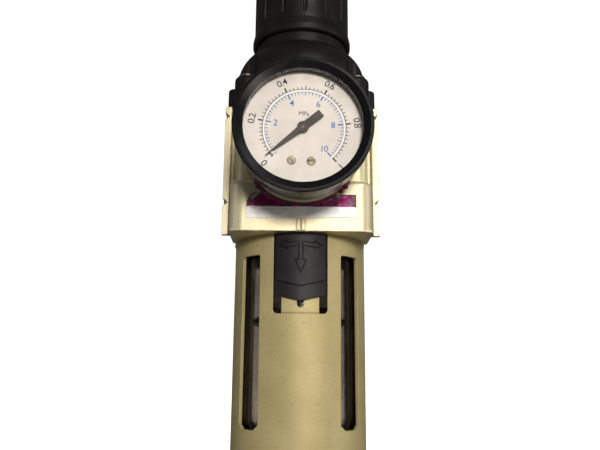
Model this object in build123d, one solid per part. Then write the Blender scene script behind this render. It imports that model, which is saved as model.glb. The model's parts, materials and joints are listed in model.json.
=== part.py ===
from build123d import *
from math import atan2, cos, degrees, radians, sin, tan
import os

# Modular air filter-regulator with a pressure gauge, as an assembly of its real pieces.
#
# Millimetres, +Z up. The origin is where the port axis (X) crosses the body axis (Z).
# The gauge faces -Y, air enters at -X and leaves at +X.
# Angles called "azimuth" are measured round the body axis from the front, towards +X.

# ---- driving dimensions -------------------------------------------------------------------
PORT_SPAN = 70.0            # between the two port faces
PORT_R = 9.3                # minor radius of the 1/2 inch pipe thread
PORT_DEPTH = 16.0
FLANGE_Y = 22.1             # half depth of the port flanges
FLANGE_TOP = 24.2
FLANGE_BOTTOM = -35.7
FOOT_DEPTH = 3.0            # level part of the flange's lower edge, at the front
FLANGE_SLANT = 12.0         # rise of the rest of it, degrees
BLOCK_X = 31.1              # half width of the front and rear blocks
BLOCK_Y = 35.0
BLOCK_TOP = -13.85
BODY_BOTTOM = -36.4
RIB_TOP = -31.2             # alignment ribs above the lock button
RIB_X = (-1.14, 0.84)
RIB_HALF = 0.63
BOSS_R = 24.5               # gauge boss
BOSS_Y = 38.0
SOCKET_R = 27.2             # bowl socket in the underside of the body
SOCKET_TOP = -20.0
CHAMBER_R = 24.0            # diaphragm chamber
CHAMBER_FLOOR = 15.0
VALVE_R = 10.0              # valve chamber
SEAT_Z = 7.0
SEAT_R = 6.5
SCREW_X = 25.5              # bonnet screws
SCREW_Y = 22.5

GUARD_R = 30.08
GUARD_WALL = 1.6
GUARD_TOP = -30.2
LUG_R = 32.3
LUG_GROOVE_R = 32.6
SHELF_TOP = -34.0
LUG_COUNT = 4
WINDOW_X = 11.55            # half width of the lock button's window
WINDOW_BOTTOM = -70.6
TONGUE_X = 8.0
TONGUE_R = 28.8
SLOT_AZIMUTH = 46.3
SLOT_TOP = -44.9
SLOT_BOTTOM = -118.1

BOWL_R = 26.9
BOWL_WALL = 2.4

BONNET_NECK_R = 22.5
NECK_TOP = 66.0
BARREL_R = 20.3             # bonnet barrel inside the knob
BARREL_TOP = 92.0
SPRING_CHAMBER_R = 17.5
KNOB_BOTTOM = 63.0
KNOB_TOP = 108.5
KNOB_RIM_R = 24.5
KNOB_GRIP_R = 23.6
GRIP_GROOVES = 14
LOCK_TEETH = 36
SCREW_TOP = 100.8           # clear of the knob when the knob is pushed down

GAUGE_ROLL = 2.0            # the gauge sits this far clockwise of upright, degrees
BEZEL_R = 27.8
BEZEL_FRONT = -65.5
BEZEL_OPENING = 23.6
CASE_R = 26.6
CASE_BACK = -48.0
DIAL_FACE = -59.8
DIAL_R = 24.8
SECTOR_PITCH_R = 12.0
PINION_PITCH_R = 1.8
GEAR_Y = -55.6
SECTOR_TEETH = 60
PINION_TEETH = 9
MODULE = 2 * PINION_PITCH_R / PINION_TEETH
SECTOR_DROP = SECTOR_PITCH_R + PINION_PITCH_R
SECTOR_LEAN = 21.0          # the sector's middle tooth at rest, so that it stays in mesh to full scale
SECTOR_TAIL = 3.0           # from the sector's arbor to the link's pin
TUBE_R = 20.0               # centre line of the Bourdon tube
TUBE_Y = -53.0
TUBE_END = 165.0            # the tube's free end, degrees clockwise from the top
POINTER_ZERO = 228.7        # the pointer at rest, degrees clockwise from the top of the dial
STOP_PIN_R = 16.2
STOP_PIN_ANGLE = 225.2
DIAL_SCREW_X = 3.87
DIAL_SCREW_Z = -13.7

FIT = 0.05                  # radial clearance of a running fit


# ---- helpers ------------------------------------------------------------------------------
def disc(radius, z0, z1, x=0.0, y=0.0):
    return Pos(x, y, (z0 + z1) / 2) * Cylinder(radius, z1 - z0)


def ring(r_out, r_in, z0, z1):
    return disc(r_out, z0, z1) - disc(r_in, z0 - 1, z1 + 1)


def rod_y(radius, y0, y1, x=0.0, z=0.0):
    return Pos(x, (y0 + y1) / 2, z) * Rot(90, 0, 0) * Cylinder(radius, y1 - y0)


def rod_x(radius, x0, x1, y=0.0, z=0.0):
    return Pos((x0 + x1) / 2, y, z) * Rot(0, 90, 0) * Cylinder(radius, x1 - x0)


def block(x0, x1, y0, y1, z0, z1):
    return Pos((x0 + x1) / 2, (y0 + y1) / 2, (z0 + z1) / 2) * Box(x1 - x0, y1 - y0, z1 - z0)


def turned(points):
    """A solid of revolution about Z from (radius, z) points."""
    face = make_face(Plane.XZ * Polyline(*points, close=True))
    return revolve(face, Axis.Z)


def arc_piece(r_in, r_out, azimuth, half_angle, z0, z1):
    """A piece of a ring, centred on an azimuth."""
    face = make_face(Plane.XZ * Polyline((r_in, z0), (r_out, z0), (r_out, z1), (r_in, z1), close=True))
    piece = revolve(face, Axis.Z, revolution_arc=2 * half_angle)
    return Rot(0, 0, azimuth - 90 - half_angle) * piece


def coil_spring(mean_r, wire_r, z0, z1, turns):
    """A compression spring whose wire lies between z0 and z1."""
    path = Helix((z1 - z0 - 2 * wire_r) / turns, z1 - z0 - 2 * wire_r, mean_r)
    section = Plane(origin=path @ 0, z_dir=path % 0) * Circle(wire_r)
    return Pos(0, 0, z0 + wire_r) * sweep(section, path=path)


def corners(x, y):
    return [(sx * x, sy * y) for sx in (-1, 1) for sy in (-1, 1)]


def gauge_frame(shape):
    return Rot(0, GAUGE_ROLL, 0) * shape


# ---- body ---------------------------------------------------------------------------------
def body_block(side):
    front = block(-BLOCK_X, BLOCK_X, 0, BLOCK_Y, BODY_BOTTOM, BLOCK_TOP)
    outer = front.edges().filter_by(Axis.Z).group_by(Axis.Y)[-1]
    front = fillet(outer, 6.0)
    top = front.faces().sort_by(Axis.Z)[-1].edges().filter_by(lambda e: e.center().Y > 1)
    front = fillet(top, 2.5)
    return front if side > 0 else mirror(front, Plane.XZ)


def port_flange(side):
    x_face = PORT_SPAN / 2
    lip = block(31.9, x_face, -FLANGE_Y, FLANGE_Y, FLANGE_BOTTOM, FLANGE_TOP)
    lip = fillet(lip.edges().filter_by(Axis.Z).group_by(Axis.X)[0], 0.6)
    waist = block(28.0, 32.5, -19.0, 19.0, FLANGE_BOTTOM, FLANGE_TOP)
    flange = lip + waist
    for z_mid, half in ((19.8, 1.6), (-20.9, 1.9)):
        notch = Plane.XZ * make_face(
            Polyline((x_face + 1, z_mid - half - 1), (x_face - 2.2, z_mid),
                     (x_face + 1, z_mid + half + 1), close=True)
        )
        for y_start in (FLANGE_Y + 1, -FLANGE_Y + 6):
            flange -= extrude(Pos(0, y_start, 0) * notch, 7, dir=(0, -1, 0))
    # the lower edge rises towards the back
    rise = (2 * FLANGE_Y - FOOT_DEPTH) * tan(radians(FLANGE_SLANT))
    below = Plane.YZ * make_face(
        Polyline((FOOT_DEPTH - FLANGE_Y, FLANGE_BOTTOM), (FLANGE_Y, FLANGE_BOTTOM + rise),
                 (FLANGE_Y + 1, FLANGE_BOTTOM - 1), (FOOT_DEPTH - FLANGE_Y, FLANGE_BOTTOM - 1),
                 close=True)
    )
    flange -= extrude(Pos(26, 0, 0) * below, 12, dir=(1, 0, 0))
    return flange if side > 0 else mirror(flange, Plane.YZ)


def body():
    trunk = block(-29.9, 29.9, -27.0, 27.0, BODY_BOTTOM, FLANGE_TOP)
    trunk = fillet(trunk.edges().filter_by(Axis.Z), 5.0)
    shape = trunk
    for side in (-1, 1):
        shape += body_block(side)
        shape += port_flange(side)
    bosses = rod_y(BOSS_R, -BOSS_Y, BOSS_Y)
    bosses = fillet(bosses.edges(), 0.8)
    shape += bosses - block(-40, 40, -40, 40, FLANGE_TOP, 60)
    # two alignment ribs above the lock button
    for x_rib in RIB_X:
        shape += block(x_rib - RIB_HALF, x_rib + RIB_HALF, -BLOCK_Y - 0.5, -BLOCK_Y + 1,
                       BODY_BOTTOM + 0.3, RIB_TOP)

    shape -= disc(CHAMBER_R, CHAMBER_FLOOR, FLANGE_TOP + 1)
    shape -= disc(VALVE_R, SOCKET_TOP - 1, SEAT_Z)
    shape -= disc(SEAT_R, SEAT_Z - 1, CHAMBER_FLOOR + 1)
    shape -= disc(SOCKET_R, BODY_BOTTOM - 1, SOCKET_TOP)
    shape -= disc(GUARD_R + 0.22, BODY_BOTTOM - 1, GUARD_TOP + 0.7)
    shape -= disc(LUG_GROOVE_R, SHELF_TOP, GUARD_TOP + 0.7)
    for index in range(LUG_COUNT):
        azimuth = index * 360 / LUG_COUNT
        shape -= arc_piece(29, LUG_GROOVE_R - 0.1, azimuth, 10.0, BODY_BOTTOM - 1, SHELF_TOP + 0.5)
    # ports, with the ducts down to the bowl and up to the diaphragm chamber
    shape -= rod_x(PORT_R, -PORT_SPAN / 2 - 1, -PORT_SPAN / 2 + PORT_DEPTH)
    shape -= rod_x(PORT_R, PORT_SPAN / 2 - PORT_DEPTH, PORT_SPAN / 2 + 1)
    shape -= disc(5.5, SOCKET_TOP - 1, 0, x=-19.0)
    shape -= disc(5.0, 0, CHAMBER_FLOOR + 1, x=18.0)
    for side in (-1, 1):
        outer, inner = side * (BOSS_Y + 1), side * 20.0
        shape -= rod_y(6.6, min(outer, inner), max(outer, inner))
        shape -= disc(1.5, -3, CHAMBER_FLOOR + 1, y=side * 22.2)
    for x, y in corners(SCREW_X, SCREW_Y):
        shape -= disc(2.1, 6.0, FLANGE_TOP + 1, x, y)
    return shape


# ---- bonnet, diaphragm and adjusting parts ------------------------------------------------
def bonnet():
    ears = block(-34.3, 34.3, -20.0, 20.0, FLANGE_TOP, 34.5)
    ears = fillet(ears.edges().filter_by(Axis.Z), 3.0)
    ears = fillet(ears.faces().sort_by(Axis.Z)[-1].edges(), 1.2)
    plate = block(-31.0, 31.0, -28.5, 28.5, FLANGE_TOP, 38.0)
    plate = fillet(plate.edges().filter_by(Axis.Z), 6.0)
    plate = fillet(plate.faces().sort_by(Axis.Z)[-1].edges(), 2.0)
    profile = Plane.XZ * (
        Polyline((0, 30), (31.5, 30), (31.5, 43.5))
        + ThreePointArc((31.5, 43.5), (29.6, 51.2), (24.2, 57.0))
        + Polyline((24.2, 57.0), (BONNET_NECK_R, 58.5), (BONNET_NECK_R, NECK_TOP), (BARREL_R, NECK_TOP + 0.2),
                   (BARREL_R, BARREL_TOP), (0, BARREL_TOP), (0, 30))
    )
    shape = ears + plate + revolve(make_face(profile), Axis.Z)
    for x, y in corners(SCREW_X, SCREW_Y):
        shape -= disc(4.7, 36.0, 60.0, x, y)
        shape -= disc(2.3, 20.0, 40.0, x, y)
    for index in range(LOCK_TEETH):
        azimuth = index * 360 / LOCK_TEETH
        shape += arc_piece(BARREL_R - 0.5, BARREL_R + 0.9, azimuth, 1.4, NECK_TOP - 0.5, NECK_TOP + 3.0)
    shape -= disc(26.9, FLANGE_TOP - 1, 28.4)
    shape -= disc(SPRING_CHAMBER_R, 27.0, 88.0)
    shape -= disc(5.0 + FIT, 80.0, BARREL_TOP + 1)
    for side in (-1, 1):
        x_in, x_out = sorted((side * 16.2, side * (SPRING_CHAMBER_R + 0.5)))
        shape += block(x_in, x_out, -1.5, 1.5, 62.0, 88.5)
    # relief hole of the spring chamber, at the back
    shape -= rod_y(1.0, 10, 35, z=44.0)
    return shape


def bonnet_screws():
    screws = []
    for x, y in corners(SCREW_X, SCREW_Y):
        screw = disc(2.0, 8.0, 36.5, x, y) + disc(3.9, 36.0, 39.6, x, y)
        screw = fillet(screw.edges().filter_by(GeomType.CIRCLE).group_by(Axis.Z)[-1], 1.0)
        for turn in (0, 90):
            screw -= Pos(x, y, 39.2) * Rot(0, 0, 45 + turn) * Box(4.4, 0.9, 2.4)
        screws.append(screw)
    return Compound(children=screws)


def diaphragm():
    return turned([(5.0, 26.0), (16.0, 26.0), (18.5, 27.2), (26.6, 27.2), (26.6, 28.3), (18.0, 28.3),
                   (15.8, 27.4), (5.0, 27.4)])


def diaphragm_plate():
    return turned([(0, 27.4), (15.4, 27.4), (15.4, 28.6), (8.0, 28.6), (8.0, 31.4), (0, 31.4)])


def diaphragm_washer():
    return turned([(2.4, 24.4), (14.0, 24.4), (14.0, 26.0), (4.9, 26.0), (4.9, 27.4), (2.4, 27.4)])


def adjusting_screw():
    shaft = disc(4.0, 62.0, 85.0) + disc(7.5, 84.6, 87.4) + disc(5.0, 87.0, 92.4)
    return shaft + block(-3.5, 3.5, -3.5, 3.5, 92.0, SCREW_TOP)


def thrust_washer():
    return ring(8.5, 5.2, 87.4, 88.0)


def adjusting_nut():
    shape = turned([(4.0 + FIT, 76.0), (10.2, 76.0), (10.2, 78.0), (16.9, 78.0), (16.9, 82.0),
                    (4.0 + FIT, 82.0)])
    for side in (-1, 1):
        x_in, x_out = sorted((side * 15.8, side * 18.0))
        shape -= block(x_in, x_out, -1.9, 1.9, 70.0, 90.0)
    return shape


def adjusting_spring():
    return coil_spring(12.4, 1.6, 28.7, 77.9, 7)


def knob():
    outline = Plane.XZ * (
        Polyline((0, KNOB_BOTTOM), (KNOB_RIM_R - 1.6, KNOB_BOTTOM))
        + ThreePointArc((KNOB_RIM_R - 1.6, KNOB_BOTTOM), (KNOB_RIM_R - 0.45, KNOB_BOTTOM + 0.5),
                        (KNOB_RIM_R, KNOB_BOTTOM + 1.7))
        + Polyline((KNOB_RIM_R, KNOB_BOTTOM + 1.7), (KNOB_RIM_R, 66.5), (KNOB_GRIP_R, 70.5),
                   (KNOB_GRIP_R, KNOB_TOP - 3.0))
        + ThreePointArc((KNOB_GRIP_R, KNOB_TOP - 3.0), (KNOB_GRIP_R - 0.8, KNOB_TOP - 1.0),
                        (KNOB_GRIP_R - 3.0, KNOB_TOP))
        + Polyline((KNOB_GRIP_R - 3.0, KNOB_TOP), (0, KNOB_TOP), (0, KNOB_BOTTOM))
    )
    shape = revolve(make_face(outline), Axis.Z)
    shape -= disc(BONNET_NECK_R + 0.4, KNOB_BOTTOM - 1, 70.0)
    shape -= disc(21.6, 69.0, 98.0)
    shape += disc(8.0, 96.0, 100.0)
    shape -= block(-3.55, 3.55, -3.55, 3.55, 90.0, 104.5)
    for index in range(LOCK_TEETH):
        azimuth = (index + 0.5) * 360 / LOCK_TEETH
        shape += arc_piece(20.6, 22.0, azimuth, 1.4, 70.0, 73.0)
    groove = Pos(0, -KNOB_GRIP_R - 0.3, 0) * (
        disc(1.1, 72.8 + 1.1, KNOB_TOP + 1) + Pos(0, 0, 72.8 + 1.1) * Sphere(1.1)
    )
    for index in range(GRIP_GROOVES):
        shape -= Rot(0, 0, 3.0 + index * 360 / GRIP_GROOVES) * groove
    shape -= disc(15.0, KNOB_TOP - 0.8, KNOB_TOP + 1)
    return shape


def knob_cap():
    cap = disc(14.9, KNOB_TOP - 0.8, KNOB_TOP)
    return chamfer(cap.edges().group_by(Axis.Z)[-1], 0.3)


# ---- valve --------------------------------------------------------------------------------
def valve_stem():
    return disc(2.0, 5.0, 24.4) + disc(2.35, 24.0, 27.4) + disc(1.5, -16.5, 5.5)


def valve_poppet():
    return turned([(2.05, 2.6), (5.0, 2.6), (5.0, 3.8), (8.2, 3.8), (8.2, 6.95), (2.05, 6.95)])


def valve_spring():
    return coil_spring(6.2, 0.5, -11.9, 3.7, 6)


def valve_guide():
    shape = turned([(1.5 + FIT, -13.5), (3.2, -13.5), (3.2, -12.0), (9.9, -12.0), (9.9, -20.0),
                    (14.0, -20.0), (14.0, -23.0), (3.1, -23.0), (3.1, -17.0), (1.5 + FIT, -17.0)])
    shape -= ring(11, 9.0, -17.4, -15.2)
    for index in range(6):
        azimuth = radians(60 * index)
        shape -= disc(1.7, -24.0, -11.0, 6.2 * cos(azimuth), 6.2 * sin(azimuth))
    return shape


def valve_guide_oring():
    return Pos(0, 0, -16.3) * Torus(9.5, 0.48)


def rear_port_plug():
    plug = rod_y(6.55, 26.0, BOSS_Y - 0.4)
    hexagon = Plane.XZ * RegularPolygon(3.4, 6)
    return plug - extrude(Pos(0, BOSS_Y + 1, 0) * hexagon, 6, dir=(0, -1, 0))


# ---- filter -------------------------------------------------------------------------------
def deflector():
    shape = ring(24.0, 3.1, -24.4, -23.0) + ring(17.6, 16.2, -29.0, -24.0)
    for index in range(16):
        vane = block(17.0, 23.6, -0.5, 0.5, -29.0, -24.0)
        leaning = Pos(20.6, 0, -26.5) * Rot(28, 0, 0) * Pos(-20.6, 0, 26.5) * vane
        shape += Rot(0, 0, index * 360 / 16) * leaning
    for index in range(6):
        azimuth = radians(60 * index)
        shape -= disc(1.7, -26.0, -22.0, 6.2 * cos(azimuth), 6.2 * sin(azimuth))
    return shape


def filter_element():
    return ring(15.8, 11.0, -68.4, -24.4)


def baffle():
    shape = turned([(3.1, -71.5), (3.1, -68.4), (17.4, -68.4), (17.4, -67.0), (18.6, -67.0), (18.6, -70.0),
                    (22.6, -72.2), (22.6, -73.6), (17.6, -71.5)])
    for index in range(4):
        shape += Rot(0, 0, 45 + 90 * index) * block(5.6, 20.0, -0.7, 0.7, -84.0, -70.5)
    return shape


def centre_rod():
    rod = disc(3.0, -78.0, -18.6)
    hexagon = RegularPolygon(5.0, 6)
    return rod + extrude(Pos(0, 0, -74.5) * hexagon, 3.0)


# ---- bowl, guard and lock -----------------------------------------------------------------
def bowl():
    outer = Plane.XZ * (
        Polyline((0, -20.6), (BOWL_R, -20.6), (BOWL_R, -31.4), (28.25, -31.4), (28.25, -35.2), (BOWL_R, -35.2),
                 (BOWL_R, -124.0))
        + ThreePointArc((BOWL_R, -124.0), (22.6, -134.4), (12.0, -138.4))
        + Polyline((12.0, -138.4), (8.6, -138.4), (8.6, -141.0), (0, -141.0), (0, -20.6))
    )
    inner_r = BOWL_R - BOWL_WALL
    inner = Plane.XZ * (
        Polyline((0, -19.0), (inner_r, -19.0), (inner_r, -124.0))
        + ThreePointArc((inner_r, -124.0), (20.8, -132.6), (12.0, -136.0))
        + Polyline((12.0, -136.0), (0, -136.0), (0, -19.0))
    )
    shape = revolve(make_face(outer), Axis.Z) - revolve(make_face(inner), Axis.Z)
    shape -= ring(28.0, 25.6, -26.6, -24.0)
    shape -= disc(5.0 + FIT, -145.0, -130.0)
    return shape


def bowl_oring():
    return Pos(0, 0, -25.3) * Torus(26.4, 0.75)


def slot_cutter(azimuth):
    """The window along the guard: rounded above, bevelled below, slightly wider at the bottom."""
    top, low = 5.6, 5.9
    outline = Polyline((-top, SLOT_TOP), (top, SLOT_TOP), (low, SLOT_BOTTOM + 2.0), (low - 2.4, SLOT_BOTTOM),
                       (-low + 2.4, SLOT_BOTTOM), (-low, SLOT_BOTTOM + 2.0), close=True)
    face = Plane.XZ * make_face(outline)
    cutter = extrude(Pos(0, -15, 0) * face, 20, dir=(0, -1, 0))
    cutter = fillet(cutter.edges().filter_by(Axis.Y).group_by(Axis.Z)[-1], 1.2)
    return Rot(0, 0, azimuth) * cutter


def bowl_guard():
    r_in = GUARD_R - GUARD_WALL
    profile = Plane.XZ * (
        Polyline((r_in, GUARD_TOP), (GUARD_R, GUARD_TOP), (GUARD_R, -128.0))
        + ThreePointArc((GUARD_R, -128.0), (25.6, -138.2), (15.0, -142.6))
        + Polyline((15.0, -142.6), (10.0, -142.6), (10.0, -140.9), (14.8, -140.9))
        + ThreePointArc((14.8, -140.9), (24.2, -137.0), (r_in, -128.0))
        + Line((r_in, -128.0), (r_in, GUARD_TOP))
    )
    shape = revolve(make_face(profile), Axis.Z)
    for azimuth in (SLOT_AZIMUTH, -SLOT_AZIMUTH, 180 - SLOT_AZIMUTH, 180 + SLOT_AZIMUTH):
        shape -= slot_cutter(azimuth)
    window = block(-WINDOW_X, WINDOW_X, -40, -20, WINDOW_BOTTOM, -36.5)
    window = fillet(window.edges().filter_by(Axis.Y).group_by(Axis.Z)[0], 2.0)
    shape -= window
    # inset tongue that carries the lock button's spring
    tongue = arc_piece(27.5, TONGUE_R, 0, 25, -73.0, -60.5) & block(-TONGUE_X, TONGUE_X, -40, 0, -80, -50)
    tongue -= block(-1.45, 1.45, -40, -20, -66.5, -50) + rod_y(1.45, -40, -20, z=-66.5)
    shape += tongue
    for index in range(LUG_COUNT):
        azimuth = (index + 0.5) * 360 / LUG_COUNT
        shape += arc_piece(GUARD_R - 1.0, LUG_R, azimuth, 8.0, SHELF_TOP + 0.3, GUARD_TOP)
    return shape


def chevron(half_width, z_side, z_mid, z_top):
    """A plate outline with a V-shaped lower edge, extruded through the front wall."""
    outline = Polyline((-half_width, z_top), (half_width, z_top), (half_width, z_side), (0, z_mid),
                       (-half_width, z_side), close=True)
    return extrude(Pos(0, -20, 0) * (Plane.XZ * make_face(outline)), 20, dir=(0, -1, 0))


def lock_button():
    top = BODY_BOTTOM - 0.2
    finger = ring(31.1, 29.3, -60.0, top) & chevron(10.75, -56.4, -59.0, top)
    skirt = ring(30.0, 29.3, -66.0, top) & chevron(10.75, -62.8, -65.4, top)
    keeper = ring(28.3, 27.4, -55.9, top - 1) & block(-13.6, 13.6, -40, 0, -55.9, top - 1)
    web = ring(29.5, 28.1, -55.9, top - 1) & block(-10.75, 10.75, -40, 0, -55.9, top - 1)
    return finger + skirt + keeper + web


def lock_spring():
    return Pos(0, -28.25, 0) * coil_spring(0.8, 0.2, -67.2, -56.0, 9)


# ---- drain --------------------------------------------------------------------------------
def drain_guide():
    return turned([(2.5, -134.0), (7.8, -134.0), (7.8, -135.4), (5.0, -135.4), (5.0, -146.5),
                   (2.5, -146.5)])


def drain_seal():
    return ring(7.6, 5.0 + FIT, -136.0, -135.4)


def drain_nut():
    hexagon = extrude(Pos(0, 0, -143.8) * RegularPolygon(9.4, 6), 2.8)
    return hexagon - disc(5.0 + FIT, -145, -140)


def drain_cock():
    shape = turned([(5.0 + FIT, -144.1), (9.0, -144.1), (9.0, -149.4), (4.0, -150.4), (4.0, -153.5),
                    (2.0, -153.5), (2.0, -147.1), (5.0 + FIT, -147.1)])
    for index in range(4):
        wing = block(8.0, 12.5, -1.5, 1.5, -149.2, -144.1)
        wing = fillet(wing.edges().filter_by(Axis.Z).group_by(Axis.X)[-1], 1.2)
        shape += Rot(0, 0, 45 + 90 * index) * wing
    return shape


def drain_valve():
    return turned([(0, -131.4), (4.2, -131.4), (4.2, -133.9), (2.4, -133.9), (1.6, -135.0),
                   (1.6, -146.8), (0, -146.8)])


# ---- gauge --------------------------------------------------------------------------------
def gauge_socket():
    thread = rod_y(6.55, -45.0, -24.0)
    square = block(-6.5, 6.5, CASE_BACK, -41.0, -6.5, 6.5)
    head = block(-5.0, 5.0, -52.8, CASE_BACK + 0.5, -5.0, 5.0)
    shape = chamfer(square.edges().filter_by(Axis.Y), 1.2) + thread + head
    return gauge_frame(shape - rod_y(1.6, -52.0, -20.0))


def gauge_case():
    cup = rod_y(CASE_R, -62.0, CASE_BACK)
    cup = fillet(cup.edges().group_by(Axis.Y)[-1], 3.0)
    cavity = rod_y(CASE_R - 0.9, -63.0, CASE_BACK - 0.9)
    cavity = fillet(cavity.edges().group_by(Axis.Y)[-1], 2.2)
    shape = cup - cavity
    return gauge_frame(shape - block(-5.05, 5.05, -55, -40, -5.05, 5.05))


def gauge_bezel():
    front = -BEZEL_FRONT
    profile = [(BEZEL_OPENING, front - 1.1), (26.4, front), (27.4, front - 0.05), (BEZEL_R, front - 0.5),
               (BEZEL_R, 61.2), (CASE_R + 0.02, 61.2), (CASE_R + 0.02, 62.0), (BEZEL_OPENING, 62.0)]
    return Rot(90, 0, 0) * turned(profile)


def gauge_lens():
    return rod_y(BEZEL_OPENING - 0.05, -63.2, -62.0)


def gauge_dial():
    dial = rod_y(DIAL_R, DIAL_FACE, DIAL_FACE + 0.5) - rod_y(1.0, DIAL_FACE - 1, DIAL_FACE + 2)
    for x in (-DIAL_SCREW_X, DIAL_SCREW_X):
        dial -= rod_y(0.9, DIAL_FACE - 1, DIAL_FACE + 2, x=x, z=DIAL_SCREW_Z)
    return gauge_frame(dial)


def dial_screws():
    screws = []
    for x, slot_turn in ((-DIAL_SCREW_X, 35), (DIAL_SCREW_X, -20)):
        head = rod_y(1.8, DIAL_FACE - 0.6, DIAL_FACE, x=x, z=DIAL_SCREW_Z)
        head = fillet(head.edges().group_by(Axis.Y)[0], 0.3)
        screw = head + rod_y(0.85, DIAL_FACE - 0.1, -57.5, x=x, z=DIAL_SCREW_Z)
        screw -= Pos(x, DIAL_FACE - 0.6, DIAL_SCREW_Z) * Rot(0, slot_turn, 0) * Box(4.0, 0.5, 0.45)
        screws.append(gauge_frame(screw))
    return Compound(children=screws)


def on_dial(radius, clock):
    """The (x, z) place at a radius and an angle clockwise from the top of the dial."""
    return radius * sin(radians(clock)), radius * cos(radians(clock))


def stop_pin():
    x, z = on_dial(STOP_PIN_R, STOP_PIN_ANGLE)
    return gauge_frame(rod_y(0.5, DIAL_FACE - 1.9, DIAL_FACE, x=x, z=z))


def pointer():
    tip, tail, hub = 19.0, 9.4, 2.35
    outline = Plane.XZ * make_face(
        Polyline((-0.12, tip), (0.12, tip), (1.25, 3.0), (1.6, 0), (1.6, -tail), (-1.6, -tail), (-1.6, 0),
                 (-1.25, 3.0), close=True)
    )
    blade = extrude(Pos(0, DIAL_FACE - 0.9, 0) * outline, 0.35, dir=(0, -1, 0))
    shape = blade + rod_y(hub, DIAL_FACE - 1.35, DIAL_FACE - 0.9 + 0.1)
    shape -= rod_y(0.6, DIAL_FACE - 3, DIAL_FACE)
    return gauge_frame(Rot(0, POINTER_ZERO, 0) * shape)


def toothed_wheel(pitch_r, teeth, module, half_span=180.0):
    """A flat wheel of plain trapezoid teeth, kept thinner than half a pitch for backlash."""
    root_r, tip_r = pitch_r - 1.2 * module, pitch_r + 0.8 * module
    wheel = rod_y(root_r, -0.5, 0.5)
    pitch = 360 / teeth
    root_w = root_r * sin(radians(0.22 * pitch))
    tip_w = tip_r * sin(radians(0.10 * pitch))
    tooth = Plane.XZ * make_face(
        Polyline((-root_w, root_r - 0.1), (root_w, root_r - 0.1), (tip_w, tip_r), (-tip_w, tip_r), close=True)
    )
    tooth = extrude(Pos(0, 0.5, 0) * tooth, 1.0, dir=(0, -1, 0))
    for index in range(teeth):
        turn = (index * pitch + 180) % 360 - 180
        if abs(turn) <= half_span:
            wheel += Rot(0, turn, 0) * tooth
    return wheel




def pointer_pinion():
    wheel = toothed_wheel(PINION_PITCH_R, PINION_TEETH, MODULE)
    shaft = rod_y(0.6, DIAL_FACE - 1.35, -53.0)
    wheel = Pos(0, GEAR_Y, 0) * Rot(0, 180 / PINION_TEETH, 0) * wheel
    return gauge_frame(wheel + shaft)


def sector_gear():
    """Toothed sector on its own arbor below the pinion."""
    wheel = toothed_wheel(SECTOR_PITCH_R, SECTOR_TEETH, MODULE, 31.0)
    fan = Plane.XZ * make_face(Polyline((0, -2.2), (-10.4, 14.0), (10.4, 14.0), close=True))
    wheel = wheel & (extrude(Pos(0, 2, 0) * fan, 4, dir=(0, -1, 0)) + rod_y(2.2, -2, 2))
    tail = block(-1.1, 1.1, -0.5, 0.5, -SECTOR_TAIL - 1.0, 0) - rod_y(0.4, -2, 2, z=-SECTOR_TAIL)
    wheel = wheel + tail + rod_y(0.7, -2.2, 2.2)
    return gauge_frame(Pos(0, GEAR_Y, -SECTOR_DROP) * Rot(0, SECTOR_LEAN, 0) * wheel)


def gauge_link():
    """Flat bar from the sector's tail to the free end of the Bourdon tube."""
    x_tip, z_tip = on_dial(TUBE_R - 2.2, TUBE_END)
    x_pin = -SECTOR_TAIL * sin(radians(SECTOR_LEAN))
    z_pin = -SECTOR_DROP - SECTOR_TAIL * cos(radians(SECTOR_LEAN))
    length = ((x_tip - x_pin) ** 2 + (z_tip - z_pin) ** 2) ** 0.5
    lean = degrees(atan2(z_tip - z_pin, x_tip - x_pin))
    bar = block(-0.7, length + 0.5, -0.2, 0.2, -0.6, 0.6)
    pin = rod_y(0.35, -0.2, 1.2)
    return gauge_frame(Pos(x_pin, GEAR_Y - 1.0, z_pin) * Rot(0, -lean, 0) * (bar + pin))


def movement_plates():
    plates = []
    for y in (-58.2, -53.6):
        plate = block(-7.5, 7.5, y, y + 0.8, -16.4, 4.0)
        plate -= rod_y(0.6 + FIT, y - 1, y + 2)
        plate -= rod_y(0.7 + FIT, y - 1, y + 2, z=-SECTOR_DROP)
        plates.append(plate)
    pillars = [rod_y(1.0, -57.6, -53.4, x=x, z=z) for x, z in ((-6.4, 2.8), (6.4, 2.8))]
    shape = plates[0] + plates[1]
    for pillar in pillars:
        shape += pillar
    for x in (-DIAL_SCREW_X, DIAL_SCREW_X):
        shape -= rod_y(0.9, -60, -56.0, x=x, z=DIAL_SCREW_Z)
    return gauge_frame(shape)


def hairspring():
    spiral = [(0.9 + 0.011 * step) for step in range(0, 160, 10)]
    points = [(r * cos(radians(40 * i)), r * sin(radians(40 * i))) for i, r in enumerate(spiral)]
    path = Plane.XZ * Spline(*points)
    section = Plane(origin=path @ 0, z_dir=path % 0) * Rectangle(0.12, 0.5)
    return gauge_frame(Pos(0, -57.0, 0) * sweep(section, path=path))


def bourdon_tube():
    """Flattened C-shaped tube, fed by an arm from the socket; its end carries a lug for the link."""
    sweep_angle = TUBE_END + 90

    def tube(radial, axial, angle):
        section = Pos(TUBE_R, 0, 0) * Ellipse(radial, axial)
        return Pos(0, TUBE_Y, 0) * Rot(0, 180, 0) * revolve(section, Axis.Y, revolution_arc=angle)

    arm = block(-TUBE_R, -5.0, TUBE_Y + 0.6, TUBE_Y + 3.4, -1.6, 1.6)
    x_tip, z_tip = on_dial(TUBE_R - 1.2, TUBE_END - 1.0)
    lug = Pos(x_tip, TUBE_Y - 2.4, z_tip) * Rot(0, TUBE_END, 0) * Box(2.2, 1.6, 2.4)
    return gauge_frame(tube(1.3, 2.4, sweep_angle) + arm + lug)


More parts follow.
